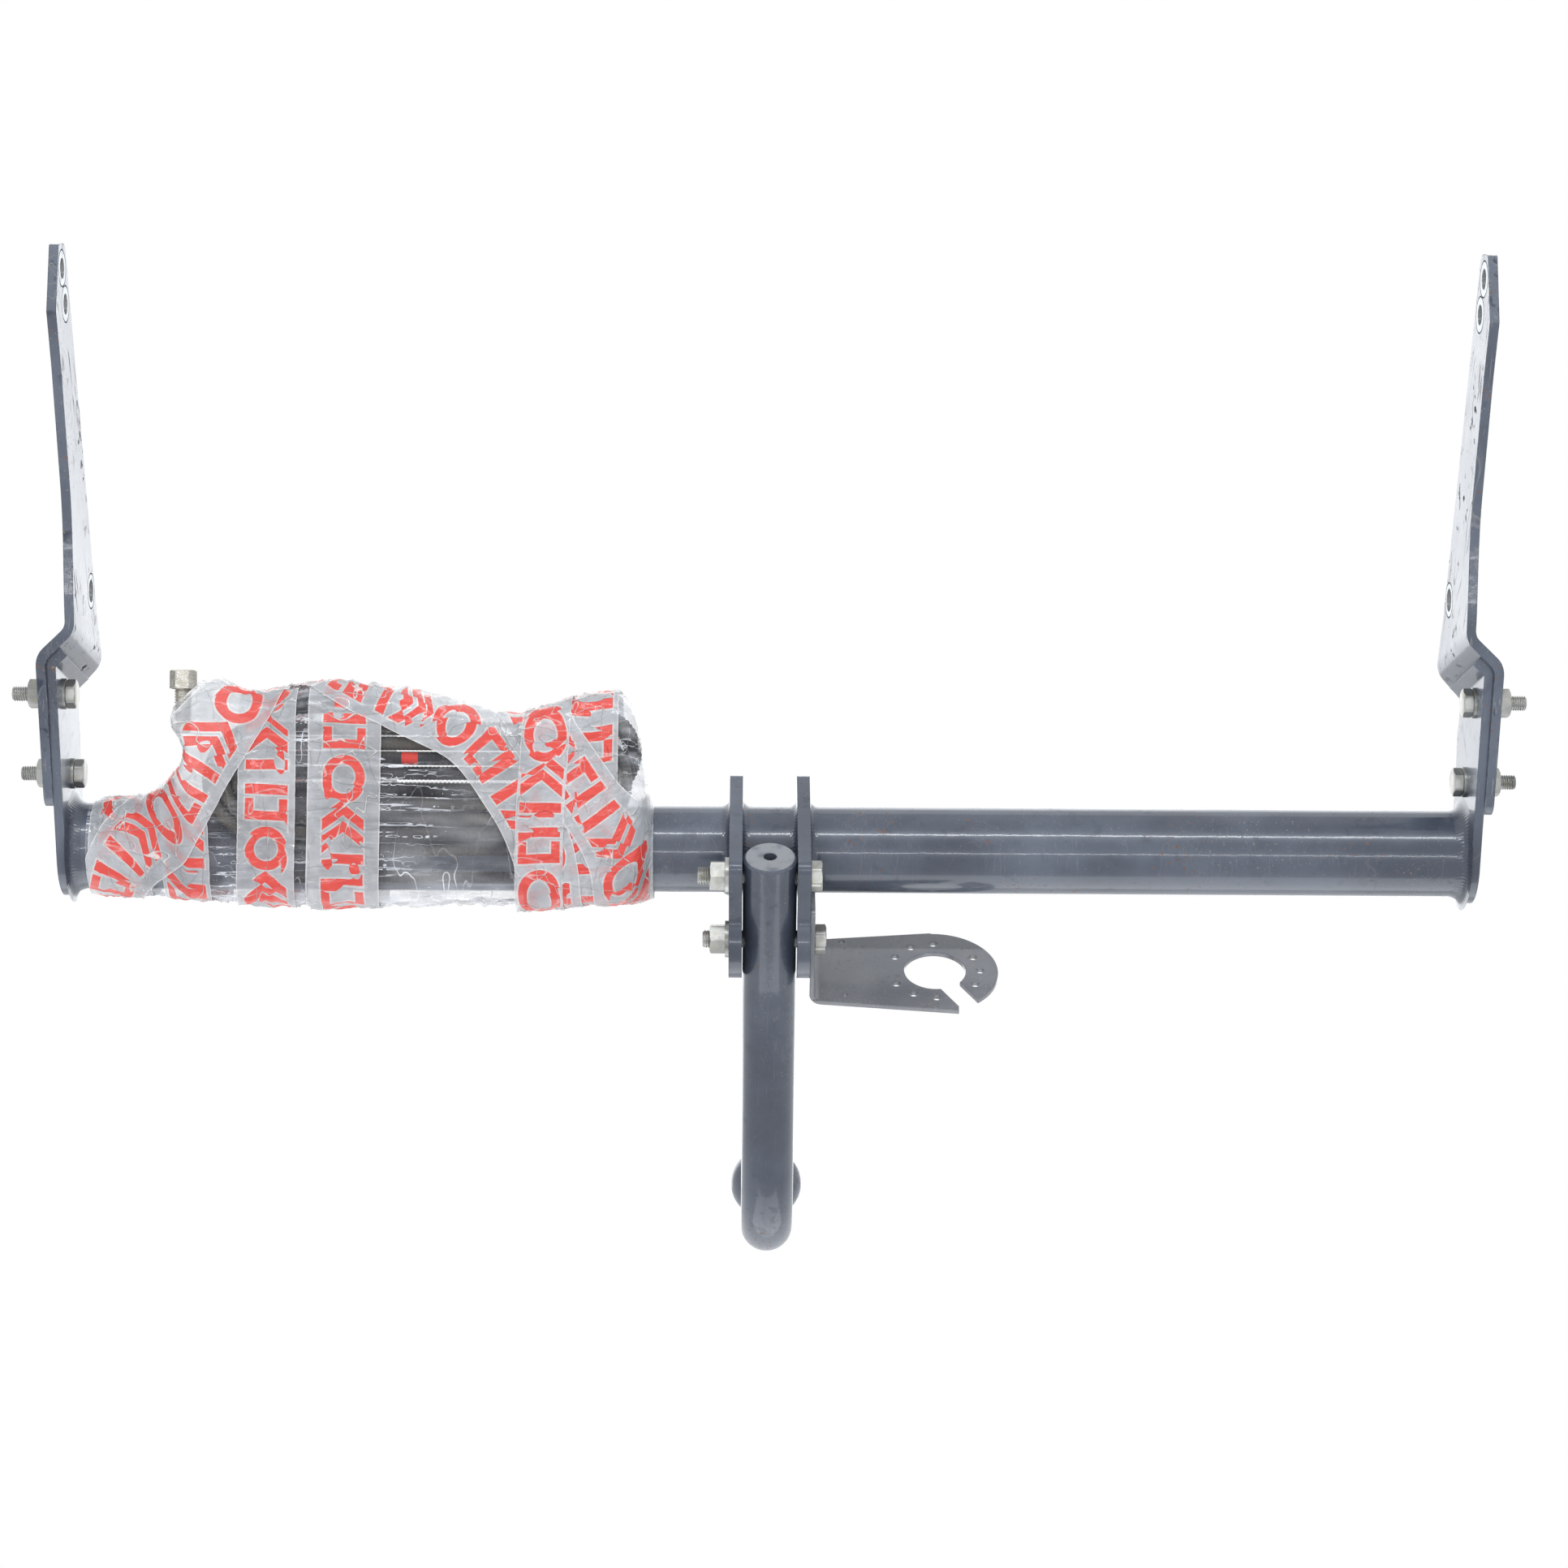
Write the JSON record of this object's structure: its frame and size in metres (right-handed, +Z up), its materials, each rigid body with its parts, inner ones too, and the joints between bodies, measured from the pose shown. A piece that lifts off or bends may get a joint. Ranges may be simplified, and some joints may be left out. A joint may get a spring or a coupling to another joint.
{
  "type": "towbar",
  "caption": "Cross-tube towbar with joggled chassis arms, clamped swan neck and coupling ball, a swivelling socket bracket and a film-wrapped fitting kit strapped to the tube.",
  "frame": {"origin": "centre of the coupling ball", "axes": "+Y to the front of the vehicle, +Z up, +X to its right"},
  "size_m": [0.98, 0.7067, 0.2033],
  "materials": {
    "paint": "glossy dark blue-black paint",
    "zinc": "zinc plated",
    "film": "clear stretch film",
    "tape": "translucent tape with a printed red pattern",
    "conduit": "black corrugated conduit"
  },
  "bodies": {
    "towbar": {"arm_bolts_left": "zinc", "arm_bolts_right": "zinc", "arm_nuts_left": "zinc", "arm_nuts_right": "zinc", "arm_washers_inner_left": "zinc", "arm_washers_inner_right": "zinc", "arm_washers_outer_left": "zinc", "arm_washers_outer_right": "zinc", "chassis_arm_left": "paint", "chassis_arm_right": "paint", "clamp_plate_left": "paint", "clamp_plate_right": "paint", "clamp_welds": "paint", "cross_tube": "paint", "end_plate_left": "paint", "end_plate_right": "paint", "end_weld_left": "paint", "end_weld_right": "paint", "kit_film": "film", "kit_loom": "conduit", "kit_spare_bolt": "zinc", "kit_tape_five": "tape", "kit_tape_four": "tape", "kit_tape_one": "tape", "kit_tape_sleeve": "tape", "kit_tape_three": "tape", "kit_tape_two": "tape", "neck_bolt_front": "zinc", "neck_bolt_rear": "zinc", "neck_nut_front": "zinc", "neck_nut_rear": "zinc", "neck_washers": "zinc", "swan_neck": "paint"},
    "bracket": {"socket_bracket": "paint"}
  },
  "joints": [
    {"name": "bracket_swivel", "type": "hinge", "parent": "towbar", "child": "bracket", "pos_m": [-0.028, 0.2605, -0.0685], "axis": [1, 0, 0], "range_deg": [-30, 150]}
  ]
}
